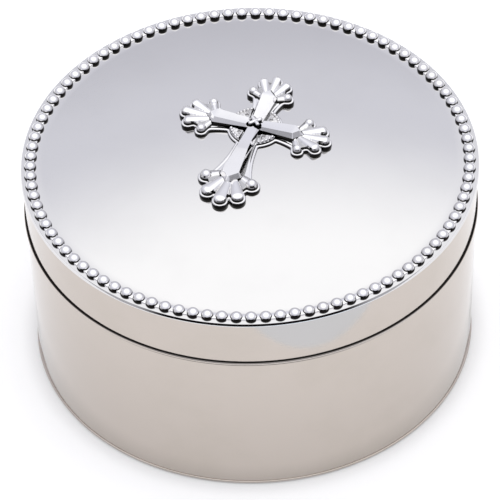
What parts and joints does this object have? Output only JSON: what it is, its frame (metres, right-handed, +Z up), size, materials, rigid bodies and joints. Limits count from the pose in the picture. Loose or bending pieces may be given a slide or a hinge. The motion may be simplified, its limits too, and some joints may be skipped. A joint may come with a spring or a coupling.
{
  "type": "rosary box",
  "caption": "Round silver-plated keepsake box with a plain tapered side and a deep lift-off lid that has a beaded rim, a low dome and an applied cross with shell ends",
  "frame": {"origin": "middle of the underside, on the surface the box stands on", "axes": "+Z up; +Y towards the head of the cross on the lid; +X to the right of the cross seen from above"},
  "size_m": [0.1016, 0.1016, 0.0581],
  "materials": {
    "plated": "silver-plated brass, polished",
    "plated_inner": "silver-plated brass, satin",
    "plated_cross": "silver-plated brass, cast and polished",
    "bare_brass": "bare",
    "spring_steel": "bare",
    "card": "grey-brown paperboard",
    "velvet": "short-pile velvet",
    "felt": "felt"
  },
  "bodies": {
    "box": {"base_felt": "felt", "base_plate": "plated", "body_wall": "plated", "collar": "plated_inner", "wall_card": "card", "wall_velvet": "velvet", "floor_card": "card", "floor_pad": "velvet"},
    "lid": {"lid_skirt": "plated", "lip_ring": "plated", "lid_top": "plated", "bead_border": "plated", "lid_card": "card", "lid_pad": "velvet", "cross_plate": "plated_cross", "cross_shells": "plated_cross", "cross_bars": "plated_cross", "cross_fans": "plated_cross", "cross_boss": "plated_cross", "cross_studs": "bare_brass", "stud_nuts": "spring_steel"}
  },
  "joints": [
    {"name": "lid_lift", "type": "slide", "parent": "box", "child": "lid", "axis": [0, 0, 1], "range_m": [0, 0.06]}
  ]
}
